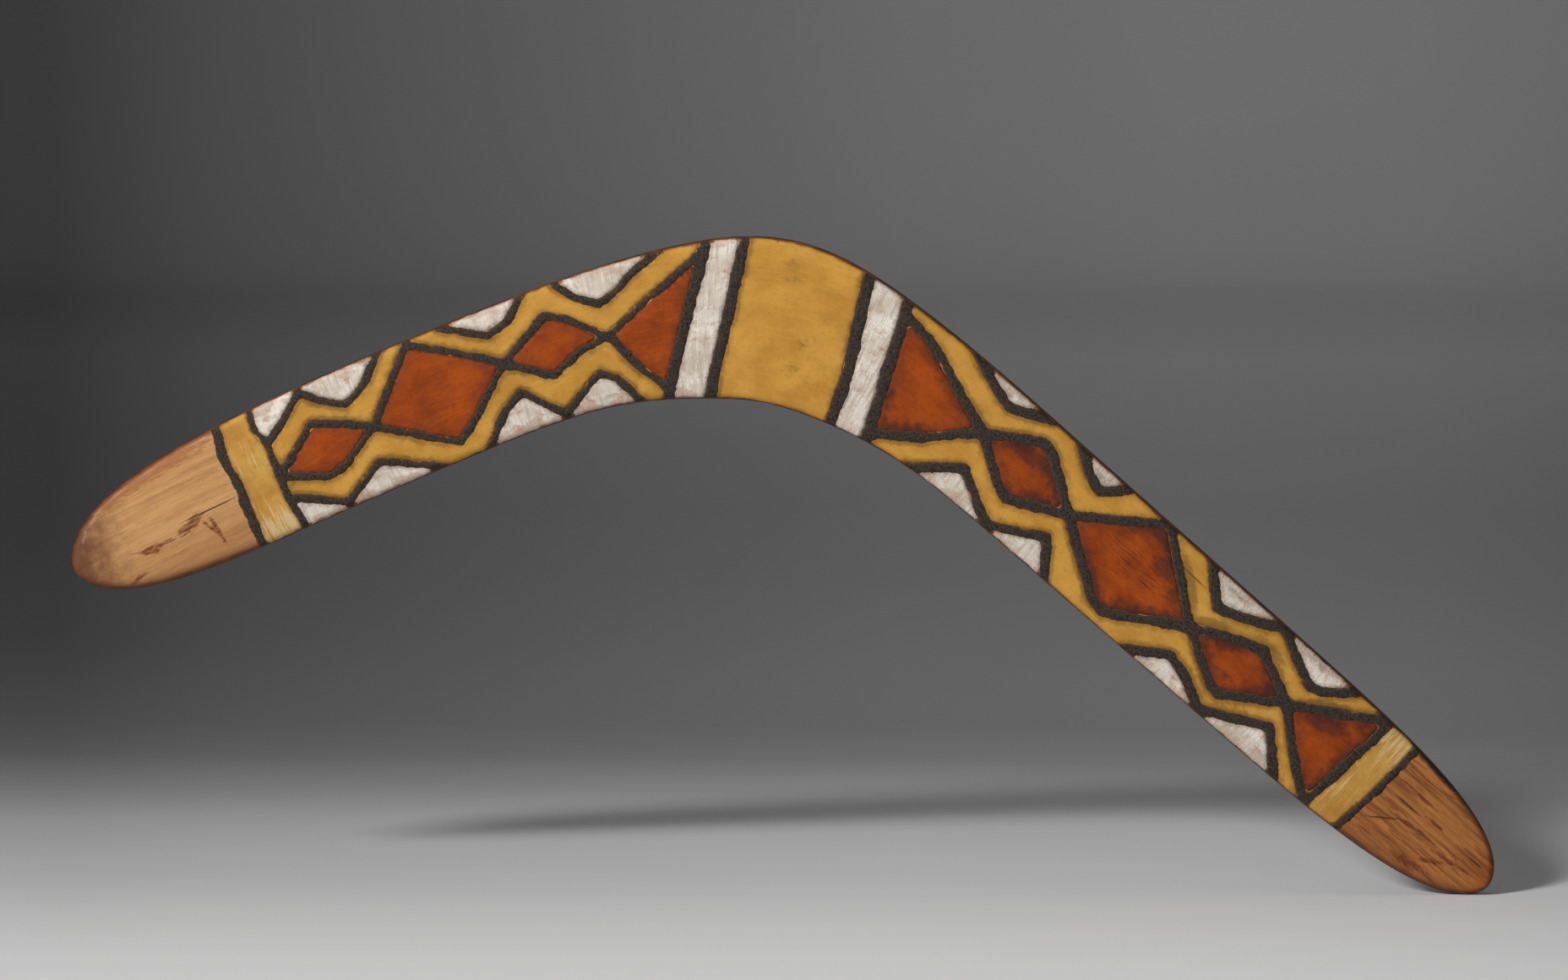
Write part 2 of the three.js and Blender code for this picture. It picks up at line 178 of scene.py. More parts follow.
def on_blade(points):
    """Station and distance out from the middle line of plan points."""
    nearest = np.empty(len(points))
    for start in range(0, len(points), AT_ONCE):
        part = points[start : start + AT_ONCE]
        gap = ((part[:, None, :] - MIDDLE[None]) ** 2).sum(-1)
        nearest[start : start + AT_ONCE] = gap.argmin(1)
    s = nearest
    for _ in range(4):
        a = heading(s)
        away = points - middle_at(s)
        ahead = away[:, 0] * np.cos(a) + away[:, 1] * np.sin(a)
        s = np.clip(s + 0.8 * ahead, 0, LENGTH)
    a = heading(s)
    away = points - middle_at(s)
    return s, -away[:, 0] * np.sin(a) + away[:, 1] * np.cos(a) - lean(s)


def inwards_of(s, u):
    """Distance straight in from the outline."""
    return (half_width(s) - np.abs(u)) / slant(s)


def place_of_plan():
    """Where the plan's zero lies in the frame: both outlines fill the same box."""
    s = np.linspace(0, LENGTH, 4001)
    rim = np.vstack([in_plan(s, half_width(s)), in_plan(s, -half_width(s))])
    low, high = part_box("blade")
    middle_of_box = np.array([(low.x + high.x) / 2, (low.z + high.z) / 2]) / MM
    return middle_of_box - (rim.min(0) + rim.max(0)) / 2


PLAN_ZERO = place_of_plan()
BACK_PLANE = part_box("blade")[1].y / MM


# ---------------------------------------------------------------- node trees


class Bench:
    """Adds nodes to one tree and joins them."""

    def __init__(self, tree):
        self.tree = tree
        tree.nodes.clear()

    def add(self, kind, inputs=(), **settings):
        node = self.tree.nodes.new(kind)
        for key, value in settings.items():
            setattr(node, key, value)
        pairs = inputs.items() if isinstance(inputs, dict) else enumerate(inputs)
        for key, value in pairs:
            self.feed(node.inputs[key], value)
        return node

    def feed(self, socket, value):
        if isinstance(value, bpy.types.NodeSocket):
            self.tree.links.new(value, socket)
        elif value is not None:
            socket.default_value = value

    def sum(self, operation, a, b=None):
        return self.add("ShaderNodeMath", (a, b), operation=operation).outputs[0]

    def plus(self, a, b):
        return self.sum("ADD", a, b)

    def minus(self, a, b):
        return self.sum("SUBTRACT", a, b)

    def times(self, a, b):
        return self.sum("MULTIPLY", a, b)

    def swing(self, cloud, reach):
        """A cloud's 0 to 1 turned into a swing to either side of nothing."""
        return self.times(self.minus(cloud, 0.5), reach)

    def vector(self, operation, a, b=None, scale=None):
        node = self.add("ShaderNodeVectorMath", (a, b), operation=operation)
        if scale is not None:
            self.feed(node.inputs["Scale"], scale)
        return node.outputs["Value" if operation == "LENGTH" else "Vector"]

    def step(self, value, low, high, out_low=0.0, out_high=1.0):
        """A smooth step from out_low at low to out_high at high."""
        inputs = (value, low, high, out_low, out_high)
        node = self.add("ShaderNodeMapRange", inputs, interpolation_type="SMOOTHSTEP")
        return node.outputs[0]

    def step_line(self, value, low, high):
        """A straight slope from 0 at low to 1 at high."""
        return self.add("ShaderNodeMapRange", (value, low, high, 0.0, 1.0)).outputs[0]

    def cloud(self, vector, scale, detail, rough=0.5):
        inputs = {"Vector": vector, "Scale": scale, "Detail": detail, "Roughness": rough}
        return self.add("ShaderNodeTexNoise", inputs).outputs[0]

    def stored(self, name, data_type="FLOAT"):
        """A value kept on the mesh, read in a geometry tree."""
        node = self.add("GeometryNodeInputNamedAttribute", (name,), data_type=data_type)
        return node.outputs[0]

    def mix(self, share, a, b):
        node = self.add("ShaderNodeMix", (share,), data_type="RGBA")
        self.feed(node.inputs[6], a)
        self.feed(node.inputs[7], b)
        return node.outputs[2]

    def over(self, tone, mask, share, shade):
        """The tone with a shade over it where the mask lies, up to this share."""
        return self.mix(self.times(mask, share), tone, shade)


def colour(red, green, blue):
    """A colour from its usual 0 to 255 values."""
    share = np.array([red, green, blue]) / 255
    linear = np.where(share < 0.04045, share / 12.92, ((share + 0.055) / 1.055) ** 2.4)
    return (*[float(x) for x in linear], 1.0)


# ---------------------------------------------------------------- the carved blade


def stations():
    """Stations crowd together towards the tips, where the outline turns fastest."""
    quarter = np.linspace(0, 1, TIP_STATIONS, endpoint=False) * math.pi / 2
    left = CROWDED_LENGTH * (1 - np.cos(quarter))
    right = LENGTH - left[::-1]
    span = LENGTH - 2 * CROWDED_LENGTH
    count = round(span / STATION_STEP)
    arms = CROWDED_LENGTH + span * np.arange(count + 1) / count
    return np.concatenate([left, arms, right])


def blade_rings():
    """Rings of points round the blade in plan, with what the carving tree has to know of each."""
    s = stations()[:, None]
    h = np.maximum(half_width(s), 1e-4)
    stretch = slant(s)

    def shares(insets, limit):
        d = np.array(insets)[None]
        return 1 - np.minimum(d * stretch / h, limit * d / insets[-1])

    rim = shares(ROUNDING_COLUMNS, RIM_SHARE)
    across = np.linspace(-1, 1, FACE_COLUMNS)[1:-1]
    face = np.hstack([-rim, across * rim[:, -1:], rim[:, ::-1]])
    back_rim = shares(BACK_ROUNDING_COLUMNS, BACK_RIM_SHARE)
    across = np.linspace(1, -1, BACK_COLUMNS)[1:-1]
    back = np.hstack([back_rim, across * back_rim[:, -1:], -back_rim[:, ::-1]])
    v = np.hstack([face, back])
    on_face = np.hstack([np.ones_like(face), np.zeros_like(back)])
    full_s = np.broadcast_to(s, v.shape)
    deep = np.hstack([np.zeros_like(face), np.full_like(back, THICKNESS)])
    facts = {
        "inwards": (1 - np.abs(v)) * h / stretch,
        "side": v * np.minimum(h / (2 * EDGE_ROUND), 1),
        "share": np.broadcast_to(crown_share(s), v.shape),
        "on_face": on_face,
        "grain": np.stack([full_s, v * h, deep], -1),
    }
    return in_plan(full_s, v * h), facts


def write_attribute(mesh, name, values):
    """Stores one number or one vector for each point of the mesh."""
    if values.ndim == 2:
        made = mesh.attributes.new(name, "FLOAT_VECTOR", "POINT")
        made.data.foreach_set("vector", values.astype(np.float32).ravel())
    else:
        made = mesh.attributes.new(name, "FLOAT", "POINT")
        made.data.foreach_set("value", values.astype(np.float32).ravel())


def flat_mesh(name, plan, faces, depth):
    """A mesh of plan points, all at one depth behind or in front of the back's plane."""
    mesh = bpy.data.meshes.new(name)
    points = np.empty((len(plan), 3))
    points[:, [0, 2]] = (plan + PLAN_ZERO) * MM
    points[:, 1] = (BACK_PLANE + depth) * MM
    mesh.from_pydata(points.tolist(), [], faces)
    return mesh


def named_inputs(tree, inputs):
    """Gives the tree its named inputs: a starting number, or the kind of thing that goes in."""
    tree.interface.new_socket(name="Geometry", in_out="INPUT", socket_type="NodeSocketGeometry")
    tree.interface.new_socket(name="Geometry", in_out="OUTPUT", socket_type="NodeSocketGeometry")
    for name, start in inputs.items():
        kind = start if isinstance(start, str) else "Float"
        kind_of_socket = "NodeSocket" + kind
        socket = tree.interface.new_socket(name=name, in_out="INPUT", socket_type=kind_of_socket)
        if kind == "Float":
            socket.default_value = start


def hand_over(b, geometry, weld, material):
    """The end of a geometry tree: welded, made real, and given its material."""
    welded = b.add("GeometryNodeMergeByDistance", {"Geometry": geometry, "Distance": weld})
    real = b.add("GeometryNodeRealizeInstances", (welded.outputs[0],))
    inputs = {"Geometry": real.outputs[0], "Material": material}
    finished = b.add("GeometryNodeSetMaterial", inputs)
    b.add("NodeGroupOutput", (finished.outputs[0],))


def shaped(name, mesh, tree, **settings):
    """Runs a mesh through a geometry tree and returns the plain mesh object that comes out."""
    bench = bpy.data.objects.new(name + "_bench", mesh)
    bpy.context.scene.collection.objects.link(bench)
    modifier = bench.modifiers.new("shape", "NODES")
    modifier.node_group = tree
    for socket in tree.interface.items_tree:
        key = socket.name.lower().replace(" ", "_")
        if socket.in_out == "INPUT" and key in settings:
            modifier[socket.identifier] = settings[key]
    bench.update_tag()
    reading = bpy.context.evaluated_depsgraph_get()
    plain = bpy.data.meshes.new_from_object(bench.evaluated_get(reading))
    bpy.data.objects.remove(bench)
    piece = bpy.data.objects.new(name, plain)
    plain.name = name
    plain.shade_smooth()
    bpy.context.scene.collection.objects.link(piece)
    return piece


def carving_tree():
    """Raises flat rings to the blade's section: crowned face, rounded edge, flat scraped back."""
    tree = bpy.data.node_groups.new("carved_section", "GeometryNodeTree")
    named_inputs(
        tree,
        {
            "Thickness": float(THICKNESS),
            "Crown": float(CROWN),
            "Edge Round": float(EDGE_ROUND),
            "Edge Drop": float(EDGE_DROP),
            "Back Round": float(BACK_ROUND),
            "Scrape Depth": 0.16,
            "Scrape Length": 42.0,
            "Scrape Width": 6.0,
            "Wood": "Material",
        },
    )
    b = Bench(tree)
    given = b.add("NodeGroupInput").outputs
    inwards, side, share, on_face = map(b.stored, ("inwards", "side", "share", "on_face"))
    over = b.sum("MAXIMUM", b.minus(1.0, b.sum("DIVIDE", inwards, given["Edge Round"])), 0.0)
    bow = b.sum("SQRT", b.sum("MAXIMUM", b.minus(1.0, b.times(over, over)), 0.0))
    fall = b.times(given["Edge Drop"], b.minus(1.0, bow))
    crown = b.times(given["Crown"], b.times(side, side))
    height = b.times(given["Thickness"], share)
    face = b.minus(b.minus(height, crown), b.times(fall, share))

    t = b.sum("MINIMUM", b.sum("DIVIDE", inwards, given["Back Round"]), 1.0)
    bow = b.sum("SQRT", b.sum("MAXIMUM", b.times(t, b.minus(2.0, t)), 0.0))
    back = b.times(given["Back Round"], b.minus(1.0, bow))

    # Long shallow strokes of the scraper, deepest on the back and fading out at the rim
    grain = b.stored("grain", "FLOAT_VECTOR")
    pitch = b.add("ShaderNodeCombineXYZ", (given["Scrape Length"], given["Scrape Width"], 1.0))
    strokes = b.cloud(b.vector("DIVIDE", grain, pitch.outputs[0]), 1.0, 1.0, 0.4)
    hollow = b.swing(strokes, given["Scrape Depth"])
    clear = b.step(inwards, *SCRAPE_FADE)
    hollow = b.times(hollow, clear)
    on_back = b.plus(back, b.plus(hollow, b.times(clear, BACK_HOLLOW)))
    on_front = b.plus(face, b.times(hollow, SCRAPE_ON_FACE))

    rise = b.plus(b.times(on_face, on_front), b.times(b.minus(1.0, on_face), on_back))
    lift = b.add("ShaderNodeCombineXYZ", (0.0, b.times(rise, -MM), 0.0)).outputs[0]
    raised = b.add("GeometryNodeSetPosition", {"Geometry": given["Geometry"], "Offset": lift})
    hand_over(b, raised.outputs[0], 2 * WELD, given["Wood"])
    return tree


def clean(piece):
    """Welds what is left doubled, drops faces without area, and turns every face outwards."""
    bm = bmesh.new()
    bm.from_mesh(piece.data)
    bmesh.ops.remove_doubles(bm, verts=bm.verts, dist=WELD)
    bmesh.ops.dissolve_degenerate(bm, edges=bm.edges, dist=1e-7)
    bmesh.ops.recalc_face_normals(bm, faces=bm.faces)
    if bm.calc_volume(signed=True) < 0:
        bmesh.ops.reverse_faces(bm, faces=bm.faces)
    bm.to_mesh(piece.data)
    bm.free()


def carve_blade(wood):
    """The whole wooden blade: its rings joined with faces and raised to their section."""
    plan, facts = blade_rings()
    rows, around = plan.shape[:2]
    faces = []
    for i in range(rows - 1):
        for j in range(around):
            a, c = i * around + j, i * around + (j + 1) % around
            faces.append((a, a + around, c + around, c))
    mesh = flat_mesh("blade_rings", plan.reshape(-1, 2), faces, 0.0)
    for name, values in facts.items():
        write_attribute(mesh, name, values.reshape(rows * around, *values.shape[2:]))
    piece = shaped("carved_blade", mesh, carving_tree(), wood=wood)
    clean(piece)
    return piece


# ---------------------------------------------------------------- coats of paint


TOWARDS_THE_FACE = -0.2  # a face whose normal's y is above this belongs to a coat's side or back


def cad_outlines(node):
    """The closed loops, in plan, around what a CAD coat covers on the face."""
    bm = bmesh.new()
    bm.from_mesh(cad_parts[node].data)
    bmesh.ops.remove_doubles(bm, verts=bm.verts, dist=WELD)
    bm.normal_update()
    after = {}
    for face in bm.faces:
        if face.normal.y > TOWARDS_THE_FACE:
            continue
        for loop in face.loops:
            others = [f for f in loop.edge.link_faces if f is not face]
            if all(f.normal.y > TOWARDS_THE_FACE for f in others):
                after.setdefault(loop.vert.index, []).append(loop.link_loop_next.vert.index)
    bm.verts.ensure_lookup_table()
    loops = []
    while after:
        first = min(after)
        chain, at = [], first
        while at in after:
            chain.append(at)
            nexts = after[at]
            at = nexts.pop()
            if not nexts:
                del after[chain[-1]]
        points = np.array([[bm.verts[i].co.x, bm.verts[i].co.z] for i in chain]) / MM
        if len(points) > 2:
            loops.append(points - PLAN_ZERO)
    bm.free()
    return loops


def resampled(points, step):
    """The closed loop again, with its points one step apart."""
    closed = np.vstack([points, points[:1]])
    gaps = np.hypot(*np.diff(closed, axis=0).T)
    gone = np.concatenate([[0], np.cumsum(gaps)])
    count = max(10, round(gone[-1] / step))
    at = np.linspace(0, gone[-1], count, endpoint=False)
    return np.stack([np.interp(at, gone, closed[:, k]) for k in (0, 1)], 1)


def softened(points, rounds):
    """The loop with its corners rounded, as a brush leaves them."""
    for _ in range(rounds):
        points = 0.5 * points + 0.25 * (np.roll(points, 1, 0) + np.roll(points, -1, 0))
    return points


def outward(points):
    """The way out of a closed loop at each of its points."""
    ahead = np.roll(points, -1, 0) - np.roll(points, 1, 0)
    ahead /= np.maximum(np.hypot(*ahead.T), 1e-9)[:, None]
    return np.stack([ahead[:, 1], -ahead[:, 0]], 1)


def waver(points, size, seed):
    """Smooth noise, about -1 to 1, with waves of the given size."""
    return np.array([noise.noise(Vector((x / size, y / size, seed))) for x, y in points]) * 1.4


def hand_drawn(loop, grow, waves, seed):
    """A CAD outline as a hand with a brush would leave it."""
    points = resampled(loop, BRUSH_STEP)
    s, u = on_blade(points)
    at_rim = inwards_of(s, u) < RIM_STRIP
    points = softened(points, CORNER_ROUNDS)
    shift = np.full(len(points), float(grow))
    for size, much in waves:
        shift += much * waver(points, size, seed)
    points = points + outward(points) * np.where(at_rim, 0.0, shift)[:, None]
    s, u = on_blade(points)
    nearest, ragged = RAGGED_RIM
    edge = nearest + ragged * (0.5 + 0.5 * np.clip(waver(points, RAGGED_SIZE, seed + 5), -1, 1))
    inwards = inwards_of(s, u)
    keep = np.where(at_rim | (inwards < edge), edge, inwards)
    return in_plan(s, np.sign(u) * (half_width(s) - keep * slant(s)))


def inside(points, loops):
    """Which points lie inside the loops, counting holes as outside."""
    crossings = np.zeros(len(points), int)
    x, y = points[:, :1], points[:, 1:]
    for loop in loops:
        a, b = loop, np.roll(loop, -1, 0)
        for start in range(0, len(a), EDGES_AT_ONCE):
            ax, ay = a[start : start + EDGES_AT_ONCE].T
            bx, by = b[start : start + EDGES_AT_ONCE].T
            spans = (ay[None] > y) != (by[None] > y)
            rise = np.where(by == ay, 1, by - ay)
            cut = ax[None] + (y - ay[None]) / rise[None] * (bx - ax)[None]
            crossings += (spans & (x < cut)).sum(1)
    return crossings % 2 == 1


def tree_of(points):
    """The points sorted for finding the nearest."""
    tree = kdtree.KDTree(len(points))
    for i, (x, y) in enumerate(points):
        tree.insert((x, y, 0), i)
    tree.balance()
    return tree


def gaps_to(tree, points):
    """How far each point is from the nearest one in the tree."""
    return np.array([tree.find((x, y, 0))[2] for x, y in points])


def brush_grid():
    """Points all over the face, on the blade's own columns, for the coats to be drawn on."""
    s = np.arange(GRID_FROM_TIP, LENGTH - GRID_FROM_TIP, STATION_STEP)[:, None]
    h, stretch = half_width(s), slant(s)
    d = np.array(ROUNDING_COLUMNS[2:])[None]
    rim = 1 - np.minimum(d * stretch / h, RIM_SHARE * d / ROUNDING_COLUMNS[-1])
    inner = np.linspace(-1, 1, FACE_COLUMNS)[1:-1] * rim[:, -1:]
    v = np.hstack([-rim, inner, rim])
    return in_plan(np.broadcast_to(s, v.shape), v * h).reshape(-1, 2)


def patch(name, loops, grid, line_tree):
    """A flat mesh that fills the loops, with what the paint has to know of each point."""
    low = np.min([loop.min(0) for loop in loops], 0)
    high = np.max([loop.max(0) for loop in loops], 0)
    near = grid[((grid > low) & (grid < high)).all(1)]
    outline = tree_of(np.vstack(loops))
    near = near[inside(near, loops)] if len(near) else near
    if len(near):
        near = near[gaps_to(outline, near) > CLEAR_OF_OUTLINE]
    points, edges = [], []
    for loop in loops:
        first = len(points)
        points += loop.tolist()
        edges += [(first + i, first + (i + 1) % len(loop)) for i in range(len(loop))]
    points += near.tolist()
    flat = [Vector(p) for p in points]
    verts, _, faces, *_ = delaunay_2d_cdt(flat, edges, [], 0, 1e-5, False)
    plan = np.array([(v.x, v.y) for v in verts])
    faces = np.array(faces)
    faces = faces[inside(plan[faces].mean(1), loops)]
    used = np.unique(faces)
    renumber = np.zeros(len(plan), int)
    renumber[used] = np.arange(len(used))
    plan, faces = plan[used], renumber[faces]
    mesh = flat_mesh(name, plan, faces.tolist(), -PATCH_AHEAD)
    s, u = on_blade(plan)
    write_attribute(mesh, "grain", np.stack([s, u, np.zeros(len(s))], 1))
    write_attribute(mesh, "rim", inwards_of(s, u))
    write_attribute(mesh, "edge", gaps_to(outline, plan))
    write_attribute(mesh, "line", gaps_to(line_tree, plan))
    write_attribute(mesh, "smoke", smoke_at(s, u))
    return mesh


def coat_tree():
    """Lays a flat patch on the blade's face and gives it a coat's thickness, thin at its edge."""
    tree = bpy.data.node_groups.new("brushed_coat", "GeometryNodeTree")
    named_inputs(
        tree,
        {
            "Blade": "Object",
            "Sunk": 0.1,
            "Edge Height": 0.04,
            "Full Height": 0.13,
            "Feather": 0.7,
            "Relief": 0.5,
            "Relief Size": 1.6,
            "Paint": "Material",
        },
    )
    b = Bench(tree)
    given = b.add("NodeGroupInput").outputs
    blade = b.add("GeometryNodeObjectInfo", {"Object": given["Blade"]}).outputs["Geometry"]
    ray = {"Target Geometry": blade, "Ray Direction": (0, 1, 0), "Ray Length": 0.1}
    seat = b.add("GeometryNodeRaycast", ray).outputs
    kept = b.add("GeometryNodeCaptureAttribute", {"Geometry": given["Geometry"]})
    kept.capture_items.new("VECTOR", "seat")
    kept.capture_items.new("VECTOR", "away")
    b.feed(kept.inputs["seat"], seat["Hit Position"])
    b.feed(kept.inputs["away"], seat["Hit Normal"])
    held = kept.outputs

    def off_the_wood(much):
        lift = b.vector("SCALE", held["away"], scale=b.times(much, MM))
        return b.vector("ADD", held["seat"], lift)

    sunk = b.times(given["Sunk"], -1.0)
    bottom = b.add(
        "GeometryNodeSetPosition",
        {"Geometry": held["Geometry"], "Position": off_the_wood(sunk)},
    ).outputs[0]
    inputs = {"Mesh": bottom, "Offset Scale": MM, "Individual": False}
    raised = b.add("GeometryNodeExtrudeMesh", inputs)
    edge = b.stored("edge")
    grain = b.stored("grain", "FLOAT_VECTOR")
    body = b.step(b.sum("DIVIDE", edge, given["Feather"]), 0.0, 1.0)
    lumps = b.cloud(grain, b.sum("DIVIDE", 1.0, given["Relief Size"]), 2.0)
    swell = b.swing(lumps, given["Relief"])
    body = b.times(body, b.plus(1.0, swell))
    rise = b.minus(given["Full Height"], given["Edge Height"])
    height = b.plus(given["Edge Height"], b.times(rise, body))
    top = b.add(
        "GeometryNodeSetPosition",
        {
            "Geometry": raised.outputs["Mesh"],
            "Selection": raised.outputs["Top"],
            "Position": off_the_wood(height),
        },
    )
    under = b.add("GeometryNodeFlipFaces", (bottom,))
    joined = b.add("GeometryNodeJoinGeometry")
    b.feed(joined.inputs[0], top.outputs[0])
    b.feed(joined.inputs[0], under.outputs[0])
    hand_over(b, joined.outputs[0], WELD, given["Paint"])
    return tree


# Dark smudges over the paint: station, out, half length, half width, turn, strength
SMUDGES = (
    (295, 23, 4, 3.5, 0, 0.42), (296.5, 17, 6, 3, 20, 0.42),
    (305, -5.6, 6, 4, 40, 0.42), (311, 6.5, 7, 4, 0, 0.3),
    (304, -15.8, 6, 4, 30, 0.42), (313, -17.4, 7, 4, 0, 0.3),
    (291, -17, 5, 4, 0, 0.3), (480.6, 11.3, 13, 2.6, -40, 0.9),
    (496.6, 6.2, 8, 2.2, 25, 1.0), (550.7, 11.1, 12, 2.6, 30, 1.0),
    (460.7, 18.7, 6, 4, 0, 0.7), (470.5, 10.5, 9, 5, 0, 0.8),
    (478, 5.0, 5, 6, 0, 0.6), (402, 8.5, 9, 4, 0, 0.8),
    (418.6, -2.9, 5, 4, 0, 0.7), (519.3, 12.4, 9, 4, 0, 0.8),
    (530, 0.2, 5, 4, 0, 0.7), (513.7, -5.7, 5, 3, 0, 0.5),
    (555.1, 5.9, 10, 4, 20, 0.8), (428, 20.5, 8, 2.4, 0, 0.5),
    (497, 20.8, 9, 2.4, 0, 0.5), (538, 21.2, 7, 2.4, 0, 0.5),
    (387, 25.7, 6, 2.0, 0, 0.6), (222, -22.2, 6, 2.0, 0, 0.5),
)


def smoke_at(s, u):
    """How much dark smudge lies on each point, 0 to 1."""
    much = np.zeros(len(s))
    for at, out, length, width, turn, strength in SMUDGES:
        a = math.radians(turn)
        along = (s - at) * math.cos(a) + (u - out) * math.sin(a)
        across = -(s - at) * math.sin(a) + (u - out) * math.cos(a)
        spread = (along / length) ** 2 + (across / width) ** 2
        much = np.maximum(much, strength * np.exp(-spread))
    return much


# ---------------------------------------------------------------- finishes


WOOD_GLOSS = 0.18
PAINT_GLOSS = 0.12
BLACK_GLOSS = 0.15


class Finish(Bench):
    """A material on its own tree, with one shader whose even gloss is set on its socket."""

    def __init__(self, name, gloss):
        self.material = bpy.data.materials.new(name)
        self.material.use_nodes = True
        super().__init__(self.material.node_tree)
        self.shader = self.add("ShaderNodeBsdfPrincipled")
        self.shader.inputs["Specular IOR Level"].default_value = gloss
        out = self.add("ShaderNodeOutputMaterial")
        self.feed(out.inputs["Surface"], self.shader.outputs[0])
        self.grain = self.read("grain").outputs["Vector"]

    def read(self, name):
        return self.add("ShaderNodeAttribute", attribute_name=name, attribute_type="GEOMETRY")

    def fact(self, name):
        return self.read(name).outputs["Fac"]

    def along(self, length, width, shift=0.0):
        """Grain coordinates for a pattern with features this long and this wide."""
        inputs = {
            "Vector": self.grain,
            "Scale": (1 / length, 1 / width, 0.5 / width),
            "Location": (shift, shift, shift),
        }
        return self.add("ShaderNodeMapping", inputs).outputs[0]

    def mark(self, at, out, length, width, turn, ragged):
        """A spot or a stroke on the face at one place, 1 inside and 0 away from it."""
        inputs = {
            "Vector": self.grain,
            "Location": (at, out, 0),
            "Rotation": (0, 0, math.radians(turn)),
            "Scale": (length, width, THICKNESS / 3),
        }
        local = self.add("ShaderNodeMapping", inputs, vector_type="TEXTURE").outputs[0]
        streaks = self.cloud(self.along(3.2, 0.8), 1.0, 3.0)
        rough = self.swing(streaks, 3.4 * ragged)
        away = self.plus(self.vector("LENGTH", local), rough)
        return self.step(away, 1.3, 0.6)

    def marks(self, places):
        """All the marks of a list as one mask."""
        total = self.mark(*places[0])
        for place in places[1:]:
            total = self.sum("MAXIMUM", total, self.mark(*place))
        return total

    def finish(self, tone, relief, depth, roughness):
        """Colour, roughness, and a relief whose full swing is this deep."""
        inputs = {"Strength": 1.0, "Distance": depth * MM, "Height": relief}
        bump = self.add("ShaderNodeBump", inputs)
        self.feed(self.shader.inputs["Normal"], bump.outputs[0])
        self.feed(self.shader.inputs["Base Color"], tone)
        self.feed(self.shader.inputs["Roughness"], roughness)
        return self.material


# Shades of the bare wood: light, mid and dark, for the left tip and the right
LEFT_WOOD = colour(194, 147, 95), colour(180, 132, 82), colour(162, 114, 70)
RIGHT_WOOD = colour(178, 116, 62), colour(150, 94, 48), colour(106, 60, 31)
PORE_BROWN = colour(104, 64, 38)
LOW_SIDE_BROWN = colour(146, 96, 56)
HANDLED_BROWN = colour(88, 44, 28)
# Painted shade for the rim of the blade's lower edge, which is turned away from the light
LOWER_RIM_PAINTED_SHADE = colour(104, 60, 36)
ORANGE_BROWN = colour(146, 84, 40)
SPECKLE_BROWN = colour(150, 84, 48)
RIGHT_END_ORANGE = colour(166, 92, 42)
RED_STREAK = colour(104, 46, 20)
RUBBED_EDGE = colour(98, 55, 33)
VERY_EDGE = colour(48, 29, 21)
STAIN_RED = colour(104, 46, 24)
SCUFF_PALE = colour(206, 166, 146)
CRACK_DARK = colour(58, 34, 22)
# Near-black painted shade for the right tip's upper edge, where it turns away from the light
RIGHT_TIP_EDGE_SHADE = colour(38, 30, 27)

# Where the wood goes over from the left tip's shades to the right tip's
WOOD_CHANGE = 300.0, 460.0

# Marks on the wood: station, out, half length, half width, turn in degrees, raggedness
STAINS = (
    (50.5, -4.9, 5.2, 2.0, 22, 0.7), (46.5, -5.6, 3.4, 1.3, 12, 0.8),
    (34, -6.4, 8.5, 0.9, -5, 0.7), (31, -7.4, 4, 1.1, -16, 0.6),
    (58.5, -11.7, 6.4, 0.9, -84, 0.5), (56.6, -9.8, 5, 0.7, -64, 0.5),
    (21, -14.5, 4.5, 0.9, 10, 0.6), (613.8, -13.6, 7, 1.8, 10, 0.9),
    (619.5, -7.5, 5, 1.0, 30, 0.9), (612.3, 4.6, 4.0, 0.8, 0, 0.9),
    (600.5, 9.0, 9.0, 0.7, -3, 0.9), (606.0, -2.0, 10.0, 0.8, 4, 0.9),
    (626.0, -2.5, 9.0, 0.8, 8, 0.9),
)
SCUFFS = ((17, 14.2, 4, 0.7, 30, 0.9), (10, 9.5, 2.5, 0.6, 46, 0.9))
CRACKS = (
    (59.5, -3.0, 11.6, 0.3, -1, 0.1), (598.9, 3.4, 6, 0.35, 0, 0.2),
    (595.2, -6.5, 6.4, 0.3, 36, 0.2), (633, 3.7, 3.2, 0.3, 2, 0.2),
)
ORANGE_STRIP = (45, 22.0, 40, 5.0, 6, 0.5)
# Where the right tip's upper edge gets its near-black painted shade
RIGHT_TIP_EDGE_SHADE_PLACE = (603.3, 21.2, 19, 2.4, -4, 0.3)


def wood_grain(f, right, warp):
    """Long growth lines, short fibres and open pores. Gives the tone and the noises under it."""
    lines = f.cloud(f.vector("ADD", f.along(48, 1.9), warp), 1.0, 5.0, 0.55)
    fibres = f.cloud(f.along(9, 0.32), 1.0, 3.0, 0.6)
    pores = f.step(f.cloud(f.along(6.5, 0.42, 3.0), 1.0, 2.0, 0.5), 0.6, 0.72)
    patches = f.cloud(f.along(34, 13, 7.0), 1.0, 2.0)
    light, mid, dark = (f.mix(right, a, b) for a, b in zip(LEFT_WOOD, RIGHT_WOOD))
    tone = f.mix(f.step(lines, 0.40, 0.64), mid, light)
    tone = f.over(tone, f.step(lines, 0.46, 0.30), 0.8, dark)
    tone = f.over(tone, f.step(patches, 0.45, 0.7), 0.4, mid)
    tone = f.over(tone, f.step(fibres, 0.48, 0.7), 0.4, dark)
    return f.over(tone, pores, 0.22, PORE_BROWN), lines, fibres, pores, patches


